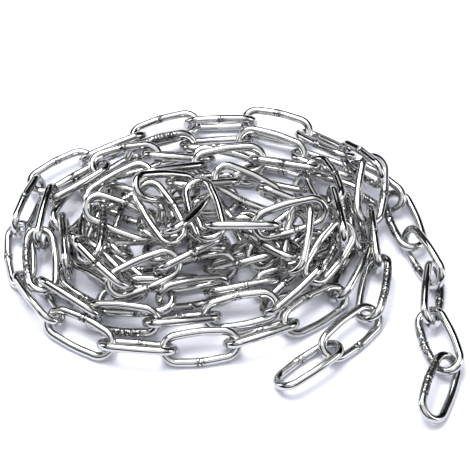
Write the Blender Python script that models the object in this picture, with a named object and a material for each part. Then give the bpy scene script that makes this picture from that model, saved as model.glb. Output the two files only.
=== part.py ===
"""A heap of long-link steel chain: one chain, wound in loose courses round a tangle.

The chain's route is a list of the points where each link hooks the next. They are
read by eye off the photo, and the camera's pitch and distance put them in plan.
Each link starts on its stretch of the route. The links are then moved apart where
wires cut through each other, and let down onto the floor or the links below.
"""

import math

import bmesh
import bpy
import numpy as np
from mathutils import Matrix, Vector

# The chain, in millimetres: 5 mm wire, links 37.5 mm long and 12 mm wide inside. The
# legs of a link bow outward a little, so it is widest halfway between its bows.
WIRE = 5.0
PITCH = 37.5
EYE_WIDTH = 12.0
LEG_BOWED = 1.0
HALF_LENGTH = (PITCH + WIRE) / 2
BOW_RADIUS = (EYE_WIDTH + WIRE) / 2 - LEG_BOWED
HALF_LEG = HALF_LENGTH - BOW_RADIUS
BOW_STEPS = 4
WIRE_SIDES = 6
# A six-sided wire has corners a little outside the round one, and flats inside it.
CORNER = 2.6

# Distance kept between the middles of two wires, in millimetres.
CLEAR = 5.5
# Radius of the short rods that tie the links of one run at their joints.
TIE = 1.3
# Millimetres to metres.
MM = 0.001

# The first link of each object. The links at the outside and at the two ends are
# one object each, and so are those that show best. The others share an object.
OUTSIDE = list(range(22))
INSIDE = [22, 25, 28, 29, 30, 33, 34, 35, 36, 39, 42, 45, 48, 52, 53, 54, 55, 57]
INSIDE += [58, 60, 61, 64, 68, 69, 71, 80, 82, 84, 86, 88, 90, 92]
END = list(range(93, 99))

# The photo's camera: the picture's middle and focal length in pixels, then the
# pitch and the distance to the floor in the picture's middle.
PICTURE_MIDDLE = 235.0
FOCAL = 1650.0
CAMERA_PITCH = math.radians(52)
CAMERA_DISTANCE = 1000.0

# Each point is (right, down) in picture pixels, the height in millimetres, and the
# roll in degrees of the link that starts there.
LOWER_TAIL = [
    (283, 384, 3, -26),
    (332, 350, 4, 29),
    (369, 320, 4, -47),
    (375, 266, 6, 90),
    (367, 208, 12, 34),
    (374, 171, 22, 75),
]
OUTER_COURSE = [
    (354, 160, 12, 21),
    (309, 133, 8, -20),
    (250, 120, 7, 68),
    (192, 122, 7, 0),
    (137, 140, 7, 72),
    (84, 160, 7, 5),
    (38, 187, 8, -80),
    (15, 230, 7, 45),
    (18, 278, 6, -55),
    (50, 322, 6, 45),
    (106, 350, 6, -44),
    (171, 354, 6, 42),
    (235, 347, 6, -44),
    (294, 324, 6, 46),
    (344, 294, 6, -50),
    (361, 249, 9, 49),
]
SECOND_COURSE = [
    (351, 200, 10, -45),
    (303, 183, 5, 5),
    (252, 172, 5, -45),
    (203, 158, 6, 45),
    (152, 155, 9, -40),
    (101, 167, 9, 45),
    (59, 200, 8, -45),
    (43, 237, 8, 20),
    (44, 284, 9, -50),
    (93, 316, 9, 50),
    (156, 318, 9, -50),
    (211, 316, 8, 38),
    (271, 306, 14, -50),
    (313, 273, 18, 30),
    (341, 236, 16, -60),
    (330, 208, 16, -35),
    (317, 165, 12, 55),
    (259, 158, 12, -38),
    (200, 162, 12, 50),
    (141, 179, 12, -38),
]
TANGLE = [
    (92, 206, 14, 45),
    (86, 241, 10, -45),
    (102, 272, 4, 45),
    (131, 288, 4, -50),
    (182, 274, 7, 40),
    (217, 263, 7, -50),
    (267, 259, 8, 45),
    (299, 236, 9, -45),
    (316, 205, 10, 40),
    (268, 199, 12, -50),
    (224, 177, 14, 45),
    (187, 188, 14, -15),
    (143, 196, 18, 30),
    (174, 237, 17, -50),
    (198, 196, 18, 20),
    (214, 231, 13, -50),
    (268, 228, 16, 10),
    (306, 216, 18, 60),
    (297, 257, 14, 45),
    (251, 228, 11, -60),
    (208, 243, 6, 30),
    (160, 258, 7, -60),
    (113, 259, 8, 30),
    (104, 229, 4, -45),
    (113, 203, 4, 45),
    (146, 212, 8, -45),
    (150, 235, 16, -50),
    (92, 216, 18, 45),
    (86, 252, 15, -45),
    (123, 280, 14, 45),
    (165, 268, 12, -45),
    (215, 250, 10, 45),
    (188, 228, 3, -45),
    (178, 200, 3, 45),
    (226, 202, 3, -45),
    (248, 226, 3, 10),
    (270, 250, 3, 60),
    (309, 253, 3, -35),
]
INNER_COURSE = [
    (338, 236, 7, 45),
    (312, 274, 8, -45),
    (266, 284, 7, 45),
    (219, 289, 7, -45),
    (169, 299, 7, 38),
    (105, 299, 4, -50),
    (74, 277, 5, 45),
    (64, 230, 9, 20),
    (87, 186, 7, -45),
    (139, 159, 8, 45),
    (192, 141, 9, -38),
    (245, 139, 10, 50),
    (300, 153, 10, -38),
]
RIGHT_TAIL = [
    (350, 174, 8, 70),
    (395, 200, 6, 18),
    (413, 243, 5, 72),
    (434, 273, 5, 109),
    (429, 317, 5, 18),
    (449, 367, 5, -47),
]
LAST_END = (431, 411, 3, 0)


def floor_point(right, down, height):
    """The place in plan of a picture point at this height, in millimetres."""
    sine, cosine = math.sin(CAMERA_PITCH), math.cos(CAMERA_PITCH)
    rise = (PICTURE_MIDDLE - down) / FOCAL
    away = rise * CAMERA_DISTANCE - height * (cosine + rise * sine)
    away /= sine - rise * cosine
    depth = CAMERA_DISTANCE + away * cosine - height * sine
    return (right - PICTURE_MIDDLE) * depth / FOCAL, away, height


def whole_route():
    """The joints' places and the links' rolls in radians, from one end to the other."""
    route = LOWER_TAIL + OUTER_COURSE + SECOND_COURSE + TANGLE + INNER_COURSE
    route += RIGHT_TAIL + [LAST_END]
    points = np.array([floor_point(*point[:3]) for point in route])
    return points, np.radians([point[3] for point in route[:-1]])


def start_poses():
    """Each link's middle and its turn on its stretch of the route."""
    points, rolls = whole_route()
    middles = (points[1:] + points[:-1]) / 2
    along = points[1:] - points[:-1]
    along /= np.sqrt((along**2).sum(axis=1, keepdims=True))
    level = np.cross([0.0, 0.0, 1.0], along)
    level /= np.sqrt((level**2).sum(axis=1, keepdims=True))
    upright = np.cross(along, level)
    across = level * np.cos(rolls)[:, None] + upright * np.sin(rolls)[:, None]
    turns = np.stack([along, across, np.cross(along, across)], axis=2)
    return middles, turns


def link_path():
    """The middle of the wire round one link, as a closed line."""
    points = []
    for side in (1, -1):
        for step in range(BOW_STEPS + 1):
            angle = math.radians(90 - 180 * step / BOW_STEPS)
            x = side * (HALF_LEG + BOW_RADIUS * math.cos(angle))
            points.append((x, side * BOW_RADIUS * math.sin(angle), 0.0))
        points.append((0.0, -side * (BOW_RADIUS + LEG_BOWED), 0.0))
    return np.array(points)


PATH = link_path()


def placed(middles, turns):
    """Each link's wire path in place: links, points, xyz."""
    return middles[:, None, :] + np.einsum("nij,sj->nsi", turns, PATH)


# How much farther off links and wires are still watched, in millimetres.
LINK_MARGIN = 12.0
WIRE_MARGIN = 6.0
# Passes between two searches for the wires to watch.
SEARCH_EVERY = 10


def near_pairs(lines):
    """Pairs of wire segments, of different links, that may come to touch."""
    ends = np.roll(lines, -1, axis=1)
    mids = ((lines + ends) / 2).reshape(-1, 3)
    halves = np.sqrt(((ends - lines) ** 2).sum(axis=2)).reshape(-1) / 2
    count = lines.shape[1]
    middles = lines.mean(axis=1)
    gaps = np.sqrt(((middles[:, None] - middles[None]) ** 2).sum(axis=2))
    first, second = np.nonzero(np.triu(gaps < 2 * HALF_LENGTH + LINK_MARGIN, 1))
    grid_a, grid_b = np.divmod(np.arange(count * count), count)
    a = (first[:, None] * count + grid_a).reshape(-1)
    b = (second[:, None] * count + grid_b).reshape(-1)
    apart = np.sqrt(((mids[a] - mids[b]) ** 2).sum(axis=1))
    close = apart < halves[a] + halves[b] + CLEAR + WIRE_MARGIN
    return a[close], b[close]


def dot(u, v):
    return (u * v).sum(axis=1)


def closest(start_a, end_a, start_b, end_b):
    """How far along each pair of segments their closest points lie, as fractions."""
    u = end_a - start_a
    v = end_b - start_b
    w = start_a - start_b
    uu, vv, uv, uw, vw = dot(u, u), dot(v, v), dot(u, v), dot(u, w), dot(v, w)
    uu = np.maximum(uu, 1e-9)
    vv = np.maximum(vv, 1e-9)
    spread = np.maximum(uu * vv - uv * uv, 1e-9)
    s = np.clip((uv * vw - uw * vv) / spread, 0, 1)
    t = (uv * s + vw) / vv
    s = np.where(t < 0, np.clip(-uw / uu, 0, 1), s)
    s = np.where(t > 1, np.clip((uv - uw) / uu, 0, 1), s)
    return s, np.clip(t, 0, 1)


def between(start, end, fraction):
    return start + fraction[:, None] * (end - start)


# Decides between two links of equal height, in millimetres for each link between them.
HEIGHT_TIE = 1e-3


def which_is_upper():
    """For each two links 1 or -1: does the first pass over the second, or under it?

    The heights are compared where the two stretches of the route come closest in
    plan, so the two links of a joint pass on the same side of a link that lies there.
    At equal heights the later link lies on the earlier one.
    """
    points, _ = whole_route()
    count = len(points) - 1
    first, second = np.divmod(np.arange(count * count), count)
    ends = (points[first], points[first + 1], points[second], points[second + 1])
    s, t = closest(*(end[:, :2] for end in ends))
    rise = between(ends[0], ends[1], s)[:, 2] - between(ends[2], ends[3], t)[:, 2]
    rise += HEIGHT_TIE * (first - second)
    return np.where(rise > 0, 1.0, -1.0).reshape(count, count)


# How easily a link turns about its own three axes, against how easily it moves.
EASE = np.array([1 / 60, 1 / 180, 1 / 230])
# The most that one pass may part two wires, lift one past another and move a link, in
# millimetres, and the most that it may turn a link, in radians.
MOST_PARTING = 3.0
MOST_LIFT = 0.4
MOST_MOVE = 0.8
MOST_TURN = 0.05
# A link with many contacts takes only a share of each push, so it doesn't overshoot.
CROWD = 1.3
CROWD_POWER = 0.7


class Heap:
    """The links' places while they are moved apart and let down."""

    def __init__(self):
        self.middles, self.turns = start_poses()
        self.goal_middles = self.middles.copy()
        self.goal_turns = self.turns.copy()
        self.upper = which_is_upper()
        camera = [0.0, -math.cos(CAMERA_PITCH), math.sin(CAMERA_PITCH)]
        sight = self.middles - CAMERA_DISTANCE * np.array(camera)
        self.slope = sight[:, :2] / sight[:, 2:]

    def astray(self):
        """How far each link lies from its line of sight, in plan at its own height."""
        rise = (self.middles - self.goal_middles)[:, 2:]
        return self.goal_middles[:, :2] + rise * self.slope - self.middles[:, :2]

    def touch(self, link, point, push, moves, spins, counts):
        """Adds what this push at this point does to the link."""
        np.add.at(moves, link, push)
        arm = point - self.middles[link]
        torque = np.cross(arm, push)
        local = np.einsum("nji,nj->ni", self.turns[link], torque) * EASE
        np.add.at(spins, link, np.einsum("nij,nj->ni", self.turns[link], local))
        np.add.at(counts, link, 1)

    def ease(self, link, point, normal):
        arm = point - self.middles[link]
        torque = np.cross(arm, normal)
        local = np.einsum("nji,nj->ni", self.turns[link], torque)
        return 1 + (local * local * EASE).sum(axis=1)

    def contacts(self, lines, a, b, layered):
        """Where wires are too close: links, points, the way apart and how short."""
        count = lines.shape[1]
        starts = lines.reshape(-1, 3)
        ends = np.roll(lines, -1, axis=1).reshape(-1, 3)
        link_a, link_b = a // count, b // count
        ends_of_pair = (starts[a], ends[a], starts[b], ends[b])
        s, t = closest(*ends_of_pair)
        if layered:
            in_plan = closest(*(point[:, :2] for point in ends_of_pair))
            neighbours = link_b - link_a == 1
            s = np.where(neighbours, s, in_plan[0])
            t = np.where(neighbours, t, in_plan[1])
        near_a = between(starts[a], ends[a], s)
        near_b = between(starts[b], ends[b], t)
        away = near_a - near_b
        gap = np.sqrt(dot(away, away))
        normal = away / np.maximum(gap, 1e-6)[:, None]
        short = CLEAR - gap
        if layered:
            upper = self.upper[link_a, link_b]
            aside = CLEAR**2 - dot(away[:, :2], away[:, :2])
            need = np.sqrt(np.maximum(aside, 0)) - away[:, 2] * upper
            need = np.where(aside > 0, need, 0)
            short = np.where(neighbours, short, np.minimum(need, MOST_LIFT))
            straight_up = np.zeros_like(normal)
            straight_up[:, 2] = upper
            normal = np.where(neighbours[:, None], normal, straight_up)
        hit = short > 0
        return (
            link_a[hit],
            link_b[hit],
            near_a[hit],
            near_b[hit],
            normal[hit],
            np.minimum(short[hit], MOST_PARTING),
        )

    def step(self, pairs, layered, pull, drop):
        self.middles[:, 2] -= drop
        self.middles[:, :2] += pull * self.astray()
        lean = sum(
            np.cross(self.turns[:, :, axis], self.goal_turns[:, :, axis])
            for axis in range(3)
        )
        lines = placed(self.middles, self.turns)
        moves = np.zeros_like(self.middles)
        spins = np.zeros_like(self.middles)
        counts = np.zeros(len(self.middles))
        link_a, link_b, at_a, at_b, normal, short = self.contacts(
            lines, pairs[0], pairs[1], layered
        )
        ease = self.ease(link_a, at_a, normal) + self.ease(link_b, at_b, normal)
        push = (short / np.maximum(ease, 1e-6))[:, None] * normal
        self.touch(link_a, at_a, push, moves, spins, counts)
        self.touch(link_b, at_b, -push, moves, spins, counts)
        low = CORNER - lines[:, :, 2]
        link, corner = np.nonzero(low > 0)
        at = lines[link, corner]
        normal = np.zeros_like(at)
        normal[:, 2] = 1.0
        ease = self.ease(link, at, normal)
        push = (low[link, corner] / np.maximum(ease, 1e-6))[:, None] * normal
        self.touch(link, at, push, moves, spins, counts)
        share = (CROWD / np.maximum(counts, CROWD) ** CROWD_POWER)[:, None]
        moves *= share
        moves /= np.maximum(np.sqrt(dot(moves, moves)) / MOST_MOVE, 1)[:, None]
        self.middles += moves
        spins *= share
        spins /= np.maximum(np.sqrt(dot(spins, spins)) / MOST_TURN, 1)[:, None]
        spin = spins + 0.5 * pull * lean
        x, y, z = (self.turns[:, :, axis] for axis in range(3))
        x = x + np.cross(spin, x)
        y = y + np.cross(spin, y)
        x /= np.sqrt(dot(x, x))[:, None]
        y -= dot(x, y)[:, None] * x
        y /= np.sqrt(dot(y, y))[:, None]
        self.turns = np.stack([x, y, np.cross(x, y)], axis=2).round(9)
        self.middles = self.middles.round(7)
        return short.max() if len(short) else 0.0

    def settle(self, passes, layered, pull, drop):
        worst = 0.0
        for count in range(passes):
            if count % SEARCH_EVERY == 0:
                pairs = near_pairs(placed(self.middles, self.turns))
            worst = self.step(pairs, layered, pull, drop)
        return worst


# Passes, whether links only move up and down past each other, and how strongly each
# pass pulls them back to the route and lets them down, in millimetres.
STAGES = [
    (300, True, 0.06, 0.0),
    (500, True, 0.04, 0.0),
    (900, False, 0.06, 0.06),
    (600, False, 0.015, 0.02),
    (1400, False, 0.0, 0.0),
]


def settled_links():
    """The links' middles and turns once the heap lies still."""
    heap = Heap()
    for passes, layered, pull, drop in STAGES:
        heap.settle(passes, layered, pull, drop)
    return heap.middles, heap.turns


def link_shape():
    """One link: a six-sided ring spun round each bow and drawn along each leg."""
    shape = bmesh.new()
    upright = Matrix.Rotation(math.pi / 2, 4, "Y")
    start = Matrix.Translation((HALF_LEG, BOW_RADIUS, 0.0))
    ring = bmesh.ops.create_circle(
        shape, segments=WIRE_SIDES, radius=CORNER, matrix=start @ upright
    )
    first = list({edge for vert in ring["verts"] for edge in vert.link_edges})
    last = spun_bow(shape, first, HALF_LEG)
    last = drawn_leg(shape, last, (-HALF_LEG, -LEG_BOWED, 0.0))
    last = drawn_leg(shape, last, (-HALF_LEG, LEG_BOWED, 0.0))
    last = spun_bow(shape, last, -HALF_LEG)
    last = drawn_leg(shape, last, (HALF_LEG, LEG_BOWED, 0.0))
    bmesh.ops.bridge_loops(shape, edges=first + last)
    bmesh.ops.recalc_face_normals(shape, faces=shape.faces)
    bmesh.ops.scale(shape, vec=(MM, MM, MM), verts=shape.verts)
    return shape


def spun_bow(shape, ring, middle):
    """Spins the ring half a turn round this bow's middle, and gives the last ring."""
    verts = list({vert for edge in ring for vert in edge.verts})
    bow = bmesh.ops.spin(
        shape,
        geom=verts + ring,
        cent=(middle, 0.0, 0.0),
        axis=(0.0, 0.0, 1.0),
        angle=-math.pi,
        steps=BOW_STEPS,
    )
    return [item for item in bow["geom_last"] if isinstance(item, bmesh.types.BMEdge)]


def drawn_leg(shape, ring, way):
    """Draws the ring half a leg on, and gives the ring there."""
    drawn = bmesh.ops.extrude_edge_only(shape, edges=ring)["geom"]
    verts = [item for item in drawn if isinstance(item, bmesh.types.BMVert)]
    bmesh.ops.translate(shape, verts=verts, vec=way)
    edges = [item for item in drawn if isinstance(item, bmesh.types.BMEdge)]
    return [edge for edge in edges if all(vert in verts for vert in edge.verts)]


def steel():
    """Electropolished stainless steel: bright and nearly smooth."""
    material = bpy.data.materials.new("polished_stainless_steel")
    material.use_nodes = True
    shader = material.node_tree.nodes["Principled BSDF"]
    shader.inputs["Base Color"].default_value = (0.62, 0.62, 0.63, 1.0)
    shader.inputs["Metallic"].default_value = 1.0
    shader.inputs["Roughness"].default_value = 0.18
    return material


def finished_mesh(shape, name, material):
    mesh = bpy.data.meshes.new(name)
    shape.to_mesh(mesh)
    shape.free()
    mesh.materials.append(material)
    mesh.shade_smooth()
    mesh.set_sharp_from_angle(angle=math.radians(70))
    return mesh


def added_object(name, mesh, parent):
    piece = bpy.data.objects.new(name, mesh)
    bpy.context.scene.collection.objects.link(piece)
    piece.parent = parent
    return piece


def joint_ends(line_a, line_b):
    """The two points where the wires of two links come closest."""
    count = len(line_a)
    a, b = np.divmod(np.arange(count * count), count)
    ends = (line_a[a], np.roll(line_a, -1, axis=0)[a])
    ends += (line_b[b], np.roll(line_b, -1, axis=0)[b])
    s, t = closest(*ends)
    at_a = between(ends[0], ends[1], s)
    at_b = between(ends[2], ends[3], t)
    nearest = dot(at_a - at_b, at_a - at_b).argmin()
    return Vector(at_a[nearest]), Vector(at_b[nearest])


def ties_shape(lines):
    """A short rod at each joint of a run, from wire to wire."""
    shape = bmesh.new()
    for line_a, line_b in zip(lines[:-1], lines[1:]):
        start, end = joint_ends(line_a, line_b)
        along = end - start
        turn = along.to_track_quat("Z", "Y").to_matrix().to_4x4()
        bmesh.ops.create_cone(
            shape,
            cap_ends=True,
            segments=WIRE_SIDES,
            radius1=TIE * MM,
            radius2=TIE * MM,
            depth=along.length * MM,
            matrix=Matrix.Translation((start + end) / 2 * MM) @ turn,
        )
    return shape


def place_of(middle, turn):
    """The link's place as a matrix in metres."""
    return Matrix.Translation(Vector(middle) * MM) @ Matrix(turn).to_4x4()


def add_link(number, place, link_mesh, parent):
    link = added_object(f"link_{number:02d}", link_mesh, parent)
    link.location = place.to_translation()
    link.rotation_mode = "QUATERNION"
    link.rotation_quaternion = place.to_quaternion()


def add_run(numbers, places, lines, link_mesh, parent, material):
    """Links that share an object: a union of the links and the ties at their joints."""
    name = f"links_{numbers[0]:02d}_{numbers[-1]:02d}"
    shape = bmesh.new()
    for place in places:
        before = len(shape.verts)
        shape.from_mesh(link_mesh)
        shape.verts.ensure_lookup_table()
        bmesh.ops.transform(shape, matrix=place, verts=shape.verts[before:])
    run = added_object(name, finished_mesh(shape, name, material), parent)
    ties_mesh = finished_mesh(ties_shape(lines), name + "_ties", material)
    ties = added_object(name + "_ties", ties_mesh, parent)
    ties.hide_render = True
    ties.display_type = "WIRE"
    union = run.modifiers.new("ties", "BOOLEAN")
    union.operation = "UNION"
    union.object = ties


def centred(middles, turns, link_mesh):
    """The middles once the heap is centred in plan, with its lowest point at zero."""
    corners = np.array([vert.co for vert in link_mesh.vertices]) / MM
    places = middles[:, None, :] + np.einsum("nij,sj->nsi", turns, corners)
    low = places.min(axis=(0, 1))
    high = places.max(axis=(0, 1))
    return middles - [(low[0] + high[0]) / 2, (low[1] + high[1]) / 2, low[2]]


def build():
    for old in list(bpy.data.objects):
        bpy.data.objects.remove(old)
    material = steel()
    link_mesh = finished_mesh(link_shape(), "link", material)
    heap = added_object("chain_heap", None, None)
    middles, turns = settled_links()
    middles = centred(middles, turns, link_mesh)
    lines = placed(middles, turns)
    places = [place_of(middle, turn) for middle, turn in zip(middles, turns)]
    firsts = OUTSIDE + INSIDE + END
    for first, after in zip(firsts, firsts[1:] + [len(places)]):
        if after - first == 1:
            add_link(first, places[first], link_mesh, heap)
        else:
            numbers = range(first, after)
            run = slice(first, after)
            add_run(numbers, places[run], lines[run], link_mesh, heap, material)


if __name__ == "__main__":
    build()
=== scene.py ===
# %% [markdown]
# # A heap of long-link steel chain
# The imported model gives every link's place, but its wires are plain and six-sided. So
# this script reads the places from it and hangs a finely made link on each one. The
# links could be laid out afresh, but then they might not agree with the solids.

# %% Load the model
import itertools
import math

import bmesh
import bpy
import numpy as np
from mathutils import Matrix, Vector


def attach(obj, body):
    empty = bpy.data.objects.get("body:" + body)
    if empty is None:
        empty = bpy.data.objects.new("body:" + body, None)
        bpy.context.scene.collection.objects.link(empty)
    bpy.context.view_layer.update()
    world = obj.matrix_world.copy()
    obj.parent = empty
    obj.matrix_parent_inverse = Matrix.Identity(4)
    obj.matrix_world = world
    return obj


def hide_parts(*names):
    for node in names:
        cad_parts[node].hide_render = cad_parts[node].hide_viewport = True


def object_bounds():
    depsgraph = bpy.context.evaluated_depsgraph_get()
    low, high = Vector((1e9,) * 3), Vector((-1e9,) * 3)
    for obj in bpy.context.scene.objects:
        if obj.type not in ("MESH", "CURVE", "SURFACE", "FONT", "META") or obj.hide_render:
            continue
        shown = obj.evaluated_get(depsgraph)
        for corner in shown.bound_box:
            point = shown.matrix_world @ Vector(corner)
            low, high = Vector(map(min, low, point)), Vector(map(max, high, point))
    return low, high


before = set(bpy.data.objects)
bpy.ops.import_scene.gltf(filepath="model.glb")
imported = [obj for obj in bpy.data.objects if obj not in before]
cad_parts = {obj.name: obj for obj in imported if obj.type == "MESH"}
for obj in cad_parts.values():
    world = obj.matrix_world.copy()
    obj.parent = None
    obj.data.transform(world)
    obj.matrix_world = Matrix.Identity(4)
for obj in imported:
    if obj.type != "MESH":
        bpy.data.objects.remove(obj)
cad_low, cad_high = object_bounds()
MM = 0.001
print("nodes:", len(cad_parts))

# %% [markdown]
# ## The chain's sizes
# Long-link chain is known by its wire and by the inside length and width of a link.
# Its legs bow outward a little, so a link is widest halfway along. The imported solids
# use the same sizes, so they are stated once here, in metres.

# %% Sizes
WIRE = 5.0 * MM
PITCH = 37.5 * MM
EYE_WIDTH = 12.0 * MM
LEG_BOWED = 1.0 * MM
LEGS_APART = EYE_WIDTH + WIRE
BOW_RADIUS = LEGS_APART / 2 - LEG_BOWED
HALF_LEG = (PITCH + WIRE) / 2 - BOW_RADIUS
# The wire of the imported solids, from one corner of its six to the opposite one.
SOLID_WIRE = 5.2 * MM
print(f"each half leg is {HALF_LEG / MM:.2f} mm long")

# %% [markdown]
# ## Where each link lies
# A leg of a packed link is a six-sided bar with a slight bend in its middle. Each
# corner of the bend joins two long edges, one for each half of the leg. Two corners
# that lie across the bar from each other have the middle of the wire halfway between.
# Two legs side by side then give the link's middle and turn. This also works where
# several links share one node, which a node's own middle would not.

# %% Corners at the middle of a leg
SLACK = 0.02 * MM
HALF_LEG_EDGE = math.hypot(HALF_LEG, LEG_BOWED)


def bend_corners(mesh):
    """(place, direction of the leg) of every corner where a leg bends."""
    shape = bmesh.new()
    shape.from_mesh(mesh)
    bmesh.ops.remove_doubles(shape, verts=shape.verts, dist=SLACK / 2)
    corners = []
    for vert in shape.verts:
        edges = [e for e in vert.link_edges if abs(e.calc_length() - HALF_LEG_EDGE) < SLACK]
        if len(edges) != 2:
            continue
        along = edges[0].other_vert(vert).co - edges[1].other_vert(vert).co
        if abs(along.length - 2 * HALF_LEG) < SLACK:
            corners.append((np.array(vert.co), np.array(along.normalized())))
    shape.free()
    return corners


# %% Legs, then links
SAME_WAY = 0.9999


def side_by_side(places, distance):
    """Pairs of (place, direction) that lie this far apart and point the same way."""
    for (place, along), (other, other_along) in itertools.combinations(places, 2):
        across = other - place
        if abs(np.linalg.norm(across) - distance) > SLACK:
            continue
        if abs(across @ along) < SLACK and abs(along @ other_along) > SAME_WAY:
            yield (place + other) / 2, along, across / distance


def links_of(node):
    """(middle, along, across) of every link in the node."""
    legs = []
    corners = bend_corners(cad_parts[node].data)
    for middle, along, _ in side_by_side(corners, SOLID_WIRE):
        if all(np.linalg.norm(middle - known) > SLACK for known, _ in legs):
            legs.append((middle, along))
    return list(side_by_side(legs, LEGS_APART))


links_in = {node: links_of(node) for node in sorted(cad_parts)}
print("links found:", sum(len(found) for found in links_in.values()))

# %% [markdown]
# ## Which leg is welded, and how
# Every link is welded shut in the middle of one leg. On the links that show best, the
# welded leg and the few that kept their dark heat scale are as in the photograph. The
# rest get theirs by chance, drawn once with a fixed seed.

# %% Welds that show
# The way from the link's middle to its welded leg: to the right and to the back.
WELDED_TOWARDS = {
    "link_00": (-1, 1),
    "link_01": (1, -1),
    "link_02": (1, 0),
    "link_08": (0, -1),
    "link_10": (0, 1),
    "link_15": (1, 1),
    "link_16": (0, 1),
    "link_17": (0, -1),
    "link_29": (-1, 0),
    "link_54": (1, 1),
    "link_94": (-1, 0),
    "link_95": (-1, -1),
    "link_96": (1, 0),
    "link_97": (-1, 0),
    "link_98": (-1, 0),
}
SCALED = ["link_02", "link_29", "link_94", "link_96", "link_97", "link_98"]
SCALED_SHARE = 0.06
WELD_DRIFT = 1.6 * MM
# Each link's own number shifts its patterns, so no two links look alike.
LINK_NUMBERS = 100.0
draw = np.random.default_rng(11)


def weld_numbers(node, across):
    """(side of the welded leg, its scale, the weld's drift, a number of its own)."""
    side = draw.choice([-1.0, 1.0])
    scale = float(draw.random() < SCALED_SHARE)
    if node in WELDED_TOWARDS:
        side = math.copysign(1.0, across[:2] @ WELDED_TOWARDS[node])
        scale = float(node in SCALED)
    return side, scale, draw.uniform(-WELD_DRIFT, WELD_DRIFT), draw.uniform(0.0, LINK_NUMBERS)


print("welds placed as in the photograph:", len(WELDED_TOWARDS))


# %% Points that carry the links
def link_points(name, nodes):
    """An object with one point for each link of these nodes, with its turn and weld."""
    links = [(node, *link) for node in nodes for link in links_in[node]]
    mesh = bpy.data.meshes.new(name)
    mesh.from_pydata([tuple(middle) for _, middle, _, _ in links], [], [])
    for attribute, kind in (
        ("turn", "QUATERNION"),
        ("across", "FLOAT_VECTOR"),
        ("scale", "FLOAT"),
        ("weld_place", "FLOAT"),
        ("link_number", "FLOAT"),
    ):
        mesh.attributes.new(attribute, kind, "POINT")
    stored = mesh.attributes
    for index, (node, _, along, across) in enumerate(links):
        side, scale, drift, own_number = weld_numbers(node, across)
        across = across * side
        columns = np.stack([along, across, np.cross(along, across)], axis=1)
        stored["turn"].data[index].value = Matrix(columns).to_quaternion()
        stored["across"].data[index].vector = across
        stored["scale"].data[index].value = scale
        stored["weld_place"].data[index].value = drift
        stored["link_number"].data[index].value = own_number
    holder = bpy.data.objects.new(name, mesh)
    bpy.context.scene.collection.objects.link(holder)
    return holder


# %% [markdown]
# ## Nodes
# One helper adds a node, sets it and wires it. It serves the link's shape, the steel
# and the light alike, so every tree below reads the same way.

# %% A helper that adds a node
MATH = "ShaderNodeMath"
VECTOR_MATH = "ShaderNodeVectorMath"
NOISE = "ShaderNodeTexNoise"
MAP_RANGE = "ShaderNodeMapRange"


def add(tree, kind, inputs=(), **settings):
    """Adds a node. Its inputs, by name or in order, are values, sockets or nodes."""
    node = tree.nodes.new(kind)
    for name, value in settings.items():
        setattr(node, name, value)
    by_name = inputs if isinstance(inputs, dict) else dict(enumerate(inputs))
    for name, value in by_name.items():
        if isinstance(value, bpy.types.Node):
            value = value.outputs[0]
        if isinstance(value, bpy.types.NodeSocket):
            tree.links.new(value, node.inputs[name])
        else:
            node.inputs[name].default_value = value
    return node


# %% [markdown]
# ## The link
# A link is a straight piece of drawn wire, bent to an oval and welded shut. Geometry
# Nodes make it the same way: an oblong with fully rounded corners, then a round wire
# swept along it. Every link is alike but for its weld, so one oval is put on every
# point. Each copy then gets its own weld, because the copies keep the place of each
# vertex in the link's own frame.

# %% The tree's sockets
tree = bpy.data.node_groups.new("welded_link", "GeometryNodeTree")
tree.interface.new_socket("Points", in_out="INPUT", socket_type="NodeSocketGeometry")
SIZES = {
    "Wire": WIRE,
    "Pitch": PITCH,
    "Eye Width": EYE_WIDTH,
    "Leg Bowed": LEG_BOWED,
    "Weld Length": 4.0 * MM,
    "Weld Height": 0.4 * MM,
    "Weld Kink": 0.25 * MM,
}
for name, value in SIZES.items():
    socket = tree.interface.new_socket(name, in_out="INPUT", socket_type="NodeSocketFloat")
    socket.default_value = value
tree.interface.new_socket("Steel", in_out="INPUT", socket_type="NodeSocketMaterial")
tree.interface.new_socket("Links", in_out="OUTPUT", socket_type="NodeSocketGeometry")
start = add(tree, "NodeGroupInput").outputs
print("sizes in the tree:", ", ".join(SIZES))

# %% The oval of wire
RINGS = 120
SIDES = 20
CORNER_POINTS = 12
# A hair less than half the height, or two corners would meet in one point.
ALMOST_HALF = 0.4999
bowed_twice = add(tree, MATH, [start["Leg Bowed"], 2.0], operation="MULTIPLY")
height = add(tree, MATH, [start["Eye Width"], start["Wire"]], operation="ADD")
height = add(tree, MATH, [height, bowed_twice], operation="SUBTRACT")
width = add(tree, MATH, [start["Pitch"], start["Wire"]], operation="ADD")
oblong = add(
    tree, "GeometryNodeCurvePrimitiveQuadrilateral", {"Width": width, "Height": height}
)
corner = add(tree, MATH, [height, ALMOST_HALF], operation="MULTIPLY")
oval = add(
    tree,
    "GeometryNodeFilletCurve",
    {"Curve": oblong, "Radius": corner, "Count": CORNER_POINTS},
    mode="POLY",
)
even = add(tree, "GeometryNodeResampleCurve", {"Curve": oval, "Count": RINGS})
print("faces in a link:", RINGS * SIDES)

# %% [markdown]
# The rings of the sweep lie evenly round the oval. The weld needs them closer, so the
# ones on the welded leg are drawn in towards its middle by a power of their distance.
# More rings all round would do it too, but would make the mesh several times heavier.

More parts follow.
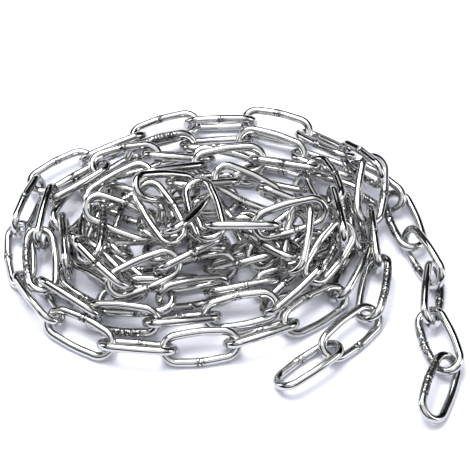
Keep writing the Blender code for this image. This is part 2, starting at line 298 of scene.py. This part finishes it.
# %% Closer rings at the weld
DRAWN_IN = 1.7
leg = add(tree, MATH, [width, height], operation="SUBTRACT")
half_leg = add(tree, MATH, [leg, 0.5], operation="MULTIPLY")
place = add(tree, "GeometryNodeInputPosition")
at = add(tree, "ShaderNodeSeparateXYZ", {"Vector": place}).outputs
from_middle = add(tree, MATH, [at["X"]], operation="ABSOLUTE")
part_of_leg = add(tree, MATH, [from_middle, half_leg], operation="DIVIDE")
not_in_bow = add(tree, MATH, [part_of_leg, 1.0], operation="LESS_THAN")
welded_leg = add(tree, MATH, [at["Y"], 0.0], operation="GREATER_THAN")
on_leg = add(tree, MATH, [not_in_bow, welded_leg], operation="MULTIPLY")
drawn_in = add(tree, MATH, [part_of_leg, DRAWN_IN], operation="POWER")
drawn_in = add(tree, MATH, [drawn_in, half_leg], operation="MULTIPLY")
left_or_right = add(tree, MATH, [at["X"]], operation="SIGN")
drawn_in = add(tree, MATH, [drawn_in, left_or_right], operation="MULTIPLY")
closer = add(tree, "ShaderNodeCombineXYZ", {"X": drawn_in, "Y": at["Y"]})
gathered = add(
    tree,
    "GeometryNodeSetPosition",
    {"Geometry": even, "Selection": on_leg, "Position": closer},
)

# %% [markdown]
# The legs swell outward by a smooth curve that is highest in the middle of the leg and
# dies out round the bows, so the outline has no corner anywhere.

# %% Bowed legs
# The higher this power is, the more of the swell stays near the middle of the leg.
SWELL_POWER = 3.0
half_width = add(tree, MATH, [width, 0.5], operation="MULTIPLY")
out_from_middle = add(tree, MATH, [at["X"], half_width], operation="DIVIDE")
squared = add(tree, MATH, [out_from_middle, out_from_middle], operation="MULTIPLY")
swell = add(tree, MATH, [1.0, squared], operation="SUBTRACT", use_clamp=True)
swell = add(tree, MATH, [swell, SWELL_POWER], operation="POWER")
swell = add(tree, MATH, [swell, start["Leg Bowed"]], operation="MULTIPLY")
which_leg = add(tree, MATH, [at["Y"]], operation="SIGN")
swell = add(tree, MATH, [swell, which_leg], operation="MULTIPLY")
swell = add(tree, "ShaderNodeCombineXYZ", {"Y": swell})
bowed = add(tree, "GeometryNodeSetPosition", {"Geometry": gathered, "Offset": swell})

# %% The round wire
half_wire = add(tree, MATH, [start["Wire"], 2.0], operation="DIVIDE")
section = add(
    tree, "GeometryNodeCurvePrimitiveCircle", {"Resolution": SIDES, "Radius": half_wire}
)
swept = add(tree, "GeometryNodeCurveToMesh", {"Curve": bowed, "Profile Curve": section})
# Each vertex keeps its place in the link's own frame, for the weld and for the steel.
named = add(
    tree,
    "GeometryNodeStoreNamedAttribute",
    {"Geometry": swept, "Name": "in_link", "Value": place},
    data_type="FLOAT_VECTOR",
)

# %% Copies on the points
NAMED = "GeometryNodeInputNamedAttribute"
turn = add(tree, NAMED, {"Name": "turn"}, data_type="QUATERNION")
copies = add(
    tree,
    "GeometryNodeInstanceOnPoints",
    {"Points": start["Points"], "Instance": named, "Rotation": turn},
)
realised = add(tree, "GeometryNodeRealizeInstances", {"Geometry": copies})

# %% [markdown]
# The weld is a low hump round the wire, with a sharp notch where the two ends met. It
# was squeezed out hot and never ground off, so it is lumpy. A smooth curve gives the
# hump and the notch, and noise makes them uneven.

# %% How far each vertex is from the weld
in_link = add(tree, NAMED, {"Name": "in_link"}, data_type="FLOAT_VECTOR")
number = add(tree, NAMED, {"Name": "link_number"}, data_type="FLOAT")
weld_at = add(tree, NAMED, {"Name": "weld_place"}, data_type="FLOAT")
parts = add(tree, "ShaderNodeSeparateXYZ", {"Vector": in_link}).outputs
from_weld = add(tree, MATH, [parts["X"], weld_at], operation="SUBTRACT")
welded_leg = add(tree, MATH, [parts["Y"], 0.0], operation="GREATER_THAN")

# %% Hump and notch
# Each falls off as exp(-power * d * d), where d counts the distance in weld lengths.
HUMP_POWER = 7.0
NOTCH_POWER = 60.0
NOTCH_DEPTH = 1.7
reach = add(tree, MATH, [from_weld, start["Weld Length"]], operation="DIVIDE")
square = add(tree, MATH, [reach, reach], operation="MULTIPLY")
hump = add(tree, MATH, [square, -HUMP_POWER], operation="MULTIPLY")
hump = add(tree, MATH, [hump], operation="EXPONENT")
notch = add(tree, MATH, [square, -NOTCH_POWER], operation="MULTIPLY")
notch = add(tree, MATH, [notch], operation="EXPONENT")
notch = add(tree, MATH, [notch, NOTCH_DEPTH], operation="MULTIPLY")
profile = add(tree, MATH, [hump, notch], operation="SUBTRACT")

# %% Lumps
# About one lump every 1.8 mm. The noise keeps close to a half, and the two numbers
# after it spread that to heights from about 0 to about 1.4.
LUMPS_PER_MM = 0.55
LUMPS_SPREAD = 4.4
LUMPS_LOWERED = 1.5
lumps = add(
    tree,
    NOISE,
    {"Vector": in_link, "W": number, "Scale": LUMPS_PER_MM / MM, "Detail": 2.0},
    noise_dimensions="4D",
)
uneven = add(tree, MATH, [lumps, LUMPS_SPREAD], operation="MULTIPLY")
uneven = add(tree, MATH, [uneven, LUMPS_LOWERED], operation="SUBTRACT")
lift = add(tree, MATH, [profile, uneven], operation="MULTIPLY")
lift = add(tree, MATH, [lift, welded_leg], operation="MULTIPLY")
lift = add(tree, MATH, [lift, start["Weld Height"]], operation="MULTIPLY")
normal = add(tree, "GeometryNodeInputNormal")
offset = add(tree, VECTOR_MATH, {0: normal, "Scale": lift}, operation="SCALE")
raised = add(tree, "GeometryNodeSetPosition", {"Geometry": realised, "Offset": offset})

# %% [markdown]
# The wire's two ends are pressed together hot, so the leg comes out a little bent at
# the weld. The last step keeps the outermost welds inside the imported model's box, and
# so also above the floor.

# %% The bend at the weld
away = add(tree, MATH, [from_weld], operation="ABSOLUTE")
away = add(tree, MATH, [away, half_leg], operation="DIVIDE")
bend = add(tree, MATH, [1.0, away], operation="SUBTRACT", use_clamp=True)
bend = add(tree, MATH, [bend, welded_leg], operation="MULTIPLY")
bend = add(tree, MATH, [bend, start["Weld Kink"]], operation="MULTIPLY")
sideways = add(tree, NAMED, {"Name": "across"}, data_type="FLOAT_VECTOR")
offset = add(tree, VECTOR_MATH, {0: sideways, "Scale": bend}, operation="SCALE")
bent = add(tree, "GeometryNodeSetPosition", {"Geometry": raised, "Offset": offset})

# %% Inside the model's box
inside = add(tree, VECTOR_MATH, [place, tuple(cad_low)], operation="MAXIMUM")
inside = add(tree, VECTOR_MATH, [inside, tuple(cad_high)], operation="MINIMUM")
kept_in = add(tree, "GeometryNodeSetPosition", {"Geometry": bent, "Position": inside})
smooth = add(tree, "GeometryNodeSetShadeSmooth", {"Geometry": kept_in})
dressed = add(
    tree, "GeometryNodeSetMaterial", {"Geometry": smooth, "Material": start["Steel"]}
)
add(tree, "NodeGroupOutput", {"Links": dressed})
print("nodes in the link's tree:", len(tree.nodes))

# %% [markdown]
# ## Steel
# The chain is stainless steel, drawn to wire, bent, welded and then polished in an
# acid bath. The bath leaves it bright and nearly mirror smooth, so the eye sees the
# room in it as sharp light and dark lines along the wire. The weld stays duller and
# pitted, and on some links the whole welded leg keeps a dark, pitted heat scale. One
# material makes all three, from where a point lies on its link.


# %% Colours
def linear(hex_code):
    """An sRGB hex colour as a linear one, with alpha."""
    values = [int(hex_code[digit : digit + 2], 16) / 255 for digit in (1, 3, 5)]
    return (*(v / 12.92 if v <= 0.04045 else ((v + 0.055) / 1.055) ** 2.4 for v in values), 1.0)


BARE_STEEL = linear("#BBBBBA")
HEAT_SCALE = linear("#3A3A3A")
print("bare steel:", [round(value, 3) for value in BARE_STEEL])

# %% Where the weld is
steel = bpy.data.materials.new("electropolished_stainless_steel")
steel.use_nodes = True
surface = steel.node_tree
shader = surface.nodes["Principled BSDF"]
shader.inputs["Metallic"].default_value = 1.0
ATTRIBUTE = "ShaderNodeAttribute"
own = add(surface, ATTRIBUTE, attribute_name="in_link").outputs["Vector"]
which = add(surface, ATTRIBUTE, attribute_name="link_number").outputs["Fac"]
weld_x = add(surface, ATTRIBUTE, attribute_name="weld_place").outputs["Fac"]
axes = add(surface, "ShaderNodeSeparateXYZ", {"Vector": own}).outputs
welded_side = add(surface, MATH, [axes["Y"], 0.0], operation="GREATER_THAN")
away = add(surface, MATH, [axes["X"], weld_x], operation="SUBTRACT")
away = add(surface, MATH, [away, SIZES["Weld Length"]], operation="DIVIDE")
away = add(surface, MATH, [away], operation="ABSOLUTE")
near = add(surface, MATH, [1.0, away], operation="SUBTRACT", use_clamp=True)
near = add(surface, MATH, [near, welded_side], operation="MULTIPLY")
# The marks are full out to three eighths of a weld length, and gone at a whole one.
WELD_MARKED = 1.6
weld_here = add(surface, MATH, [near, WELD_MARKED], operation="MULTIPLY", use_clamp=True)

# %% Where the scale is
# The scale fades out where the leg turns into the bow, which is at 1.0.
SCALE_WHOLE = 0.8
SCALE_GONE = 1.05
scaled = add(surface, ATTRIBUTE, attribute_name="scale").outputs["Fac"]
along_leg = add(surface, MATH, [axes["X"]], operation="ABSOLUTE")
along_leg = add(surface, MATH, [along_leg, HALF_LEG], operation="DIVIDE")
on_leg = add(
    surface,
    MAP_RANGE,
    {
        "Value": along_leg,
        "From Min": SCALE_WHOLE,
        "From Max": SCALE_GONE,
        "To Min": 1.0,
        "To Max": 0.0,
    },
)
scale_here = add(surface, MATH, [on_leg, welded_side], operation="MULTIPLY")
scale_here = add(surface, MATH, [scale_here, scaled], operation="MULTIPLY")

# %% [markdown]
# The real pits are a few tenths of a millimetre wide, too fine to show from here, so
# they are drawn about one millimetre wide. The scale covers its leg and has flaked off
# in small bright spots, while round a weld on a clean leg only the pits are dark.

# %% Pits
PIT = 1.1 * MM
PIT_DEPTH = 0.3 * MM
# The noise lies round a half. Each pair says where dark begins, and where it is full.
DARK_PITS = {"From Min": 0.45, "From Max": 0.55}
UNFLAKED = {"From Min": 0.38, "From Max": 0.52}
pits = add(
    surface,
    NOISE,
    {"Vector": own, "W": which, "Scale": 1 / PIT, "Detail": 1.0, "Roughness": 0.6},
    noise_dimensions="4D",
)
pits_here = add(surface, MAP_RANGE, {"Value": pits, **DARK_PITS})
pits_here = add(surface, MATH, [pits_here, weld_here], operation="MULTIPLY")
dark_scale = add(surface, MAP_RANGE, {"Value": pits, **UNFLAKED})
dark_scale = add(surface, MATH, [dark_scale, scale_here], operation="MULTIPLY")
dark_spots = add(surface, MATH, [pits_here, dark_scale], operation="MAXIMUM")
marked = add(surface, MATH, [weld_here, scale_here], operation="MAXIMUM")
pitted = add(
    surface, "ShaderNodeBump", {"Height": pits, "Strength": marked, "Distance": PIT_DEPTH}
)
surface.links.new(pitted.outputs[0], shader.inputs["Normal"])

# %% [markdown]
# The bath polishes some spots a little better than others, in soft patches a few
# millimetres long. The dark spots are rougher than the bare steel round them.

# %% Colour and polish
# About one patch every 7 mm.
PATCHES_PER_MM = 0.14
POLISH = {"From Min": 0.3, "From Max": 0.7, "To Min": 0.09, "To Max": 0.17}
ROUGHER_WHERE_DARK = 0.25
tone = add(
    surface,
    "ShaderNodeMix",
    {0: dark_spots, 6: BARE_STEEL, 7: HEAT_SCALE},
    data_type="RGBA",
)
surface.links.new(tone.outputs[2], shader.inputs["Base Color"])
polish_patches = add(
    surface,
    NOISE,
    {"Vector": own, "W": which, "Scale": PATCHES_PER_MM / MM, "Detail": 3.0},
    noise_dimensions="4D",
)
rough = add(surface, MAP_RANGE, {"Value": polish_patches, **POLISH})
rougher = add(surface, MATH, [dark_spots, ROUGHER_WHERE_DARK], operation="MULTIPLY")
rough = add(surface, MATH, [rough, rougher], operation="ADD")
surface.links.new(rough.outputs[0], shader.inputs["Roughness"])
print("steel:", len(surface.nodes), "nodes")

# %% [markdown]
# ## The chain, course by course
# The chain starts at the lower tail, goes once round the outside, once more inside
# that, through the tangle in the middle, back out along the inner course and ends at
# the right tail. Each of these is one piece, so none grows too heavy.

# %% The courses
COURSES = {
    "lower_tail": range(0, 6),
    "outer_course": range(6, 22),
    "second_course": range(22, 42),
    "tangle": range(42, 80),
    "inner_course": range(80, 93),
    "right_tail": range(93, 99),
}
sockets = {item.name: item.identifier for item in tree.interface.items_tree}


# %% Make the pieces
def plain_mesh(holder):
    """The links that the tree hangs on the holder's points, as a mesh of their own."""
    links = holder.modifiers.new("links", "NODES")
    links.node_group = tree
    for size, value in SIZES.items():
        links[sockets[size]] = value
    links[sockets["Steel"]] = steel
    graph = bpy.context.evaluated_depsgraph_get()
    mesh = bpy.data.meshes.new_from_object(holder.evaluated_get(graph))
    bpy.data.objects.remove(holder)
    # Only the tree needed these two, and it leaves an empty material slot in front.
    for spare in ("turn", "across"):
        mesh.attributes.remove(mesh.attributes[spare])
    if mesh.materials[0] is None:
        mesh.materials.pop(index=0)
    return mesh


def make_course(name, numbers):
    """One piece, with the links of every node whose first link is in this course."""
    nodes_here = [node for node in links_in if int(node.split("_")[1]) in numbers]
    mesh = plain_mesh(link_points(name + "_points", nodes_here))
    piece = bpy.data.objects.new(name, mesh)
    bpy.context.scene.collection.objects.link(piece)
    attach(piece, "root")
    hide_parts(*nodes_here)
    triangles = sum(len(face.vertices) - 2 for face in mesh.polygons)
    print(f"{name}: {len(numbers)} links, {triangles} triangles")


for course, numbers in COURSES.items():
    make_course(course, numbers)

# %% [markdown]
# ## The floor
# The heap lies on plain matt paper, so wide that its edge is far outside the picture.
# The paper is a very pale lilac. In full light it is brighter than white can be, so
# the lilac shows only in the shadows.

# %% Floor
FLOOR_HALF = 3.0
UNDER_THE_CHAIN = 0.1 * MM
CORNERS = ((-1, -1), (1, -1), (1, 1), (-1, 1))
floor_mesh = bpy.data.meshes.new("floor")
floor_mesh.from_pydata(
    [(x * FLOOR_HALF, y * FLOOR_HALF, 0.0) for x, y in CORNERS], [], [(0, 1, 2, 3)]
)
floor = bpy.data.objects.new("floor", floor_mesh)
bpy.context.scene.collection.objects.link(floor)
floor.location.z = -UNDER_THE_CHAIN
paper = bpy.data.materials.new("matt_white_paper")
paper.use_nodes = True
paper_shader = paper.node_tree.nodes["Principled BSDF"]
paper_shader.inputs["Base Color"].default_value = linear("#EEEFFA")
paper_shader.inputs["Roughness"].default_value = 0.9
paper_shader.inputs["Specular IOR Level"].default_value = 0.2
floor_mesh.materials.append(paper)
print("floor:", 2 * FLOOR_HALF, "m wide")

# %% [markdown]
# ## Light
# Polished steel shows what is round it, so the light is set out as in a small studio.
# The main softbox hangs overhead and a little behind, and throws the soft shadows to
# the front. A smaller one stands low on each side and a dim card at the back.
#
# The room itself glows overhead and is dark lower down. The glow gives each wire a
# grey band beside the white one, and the dark part gives it the dark line next to
# them. Soft patches in the glow keep two wires side by side from looking alike. A
# plain grey room would be simpler, but the wires would come out flat.

# %% The room
# The glow is strongest towards BRIGHT_SIDE, which is overhead and a little in front.
# It is gone where the cosine of the angle to that side falls to GLOW_EDGE, and full
# from GLOW_MIDDLE on.
BRIGHT_SIDE = (0.0, -0.35, 0.94)
GLOW_EDGE = 0.6
GLOW_MIDDLE = 0.97
ROOM_LOW = 0.01
ROOM_HIGH = 1.5
PATCH_SCALE = 2.6
PATCHES = {"From Min": 0.4, "From Max": 0.6, "To Min": 0.5, "To Max": 1.4}
world = bpy.data.worlds.new("studio_room")
bpy.context.scene.world = world
world.use_nodes = True
walls = world.node_tree
room = walls.nodes["Background"]
room.inputs["Color"].default_value = linear("#F5F5F8")
way = add(walls, "ShaderNodeTexCoord").outputs["Generated"]
overhead = add(walls, VECTOR_MATH, [way, BRIGHT_SIDE], operation="DOT_PRODUCT")
glow = add(
    walls,
    MAP_RANGE,
    {
        "Value": overhead.outputs["Value"],
        "From Min": GLOW_EDGE,
        "From Max": GLOW_MIDDLE,
        "To Min": ROOM_LOW,
        "To Max": ROOM_HIGH,
    },
)
glow_patches = add(walls, NOISE, {"Vector": way, "Scale": PATCH_SCALE, "Detail": 2.0})
glow_patches = add(walls, MAP_RANGE, {"Value": glow_patches, **PATCHES})
strength = add(walls, MATH, [glow, glow_patches], operation="MULTIPLY")
walls.links.new(strength.outputs[0], room.inputs["Strength"])
print("room:", len(walls.nodes), "nodes")


# %% Softboxes
def softbox(name, azimuth, elevation, distance, width, height, glow):
    """A lit panel that faces the heap. Azimuth 0 is to the right, 90 to the back."""
    lamp = bpy.data.lights.new(name, "AREA")
    lamp.shape = "RECTANGLE"
    lamp.size, lamp.size_y = width, height
    lamp.energy = glow * width * height * math.pi
    panel = bpy.data.objects.new(name, lamp)
    bpy.context.scene.collection.objects.link(panel)
    around, up = math.radians(azimuth), math.radians(elevation)
    flat = math.cos(up)
    outward = Vector((flat * math.cos(around), flat * math.sin(around), math.sin(up)))
    panel.location = outward * distance
    panel.rotation_euler = outward.to_track_quat("Z", "Y").to_euler()
    panel.visible_camera = False
    print(f"{name}: {lamp.energy:.1f} W")


softbox("left_softbox", 170, 22, 1.3, 0.5, 0.7, 3.0)
softbox("top_softbox", 125, 74, 1.1, 0.75, 0.75, 10.5)
softbox("right_card", -12, 22, 1.2, 0.5, 0.7, 3.0)
softbox("back_card", 100, 30, 1.4, 0.5, 0.25, 1.2)

# %% [markdown]
# ## Camera
# The photograph is taken from the front and well above, with a long lens. The pitch is
# the one that makes the settled heap as deep in the picture as the real one. The lens
# is stated in pixels of the picture, because that is how it was found.

# %% Camera
PICTURE = 470
FOCAL_PIXELS = 1650.0
PITCH_DOWN = math.radians(51.3)
DISTANCE = 1000.0 * MM
AIM = Vector((4.66, 23.22, 0.0)) * MM
FAR_ENOUGH = 20.0
camera_data = bpy.data.cameras.new("camera")
camera_data.sensor_width = 36.0
camera_data.lens = FOCAL_PIXELS / PICTURE * camera_data.sensor_width
camera_data.clip_end = FAR_ENOUGH
camera = bpy.data.objects.new("camera", camera_data)
bpy.context.scene.collection.objects.link(camera)
toward = Vector((0.0, math.cos(PITCH_DOWN), -math.sin(PITCH_DOWN)))
camera.location = AIM - toward * DISTANCE
camera.rotation_euler = (math.pi / 2 - PITCH_DOWN, 0.0, 0.0)
bpy.context.scene.camera = camera
bpy.context.scene.view_settings.view_transform = "Standard"
print(f"lens: {camera_data.lens:.0f} mm")
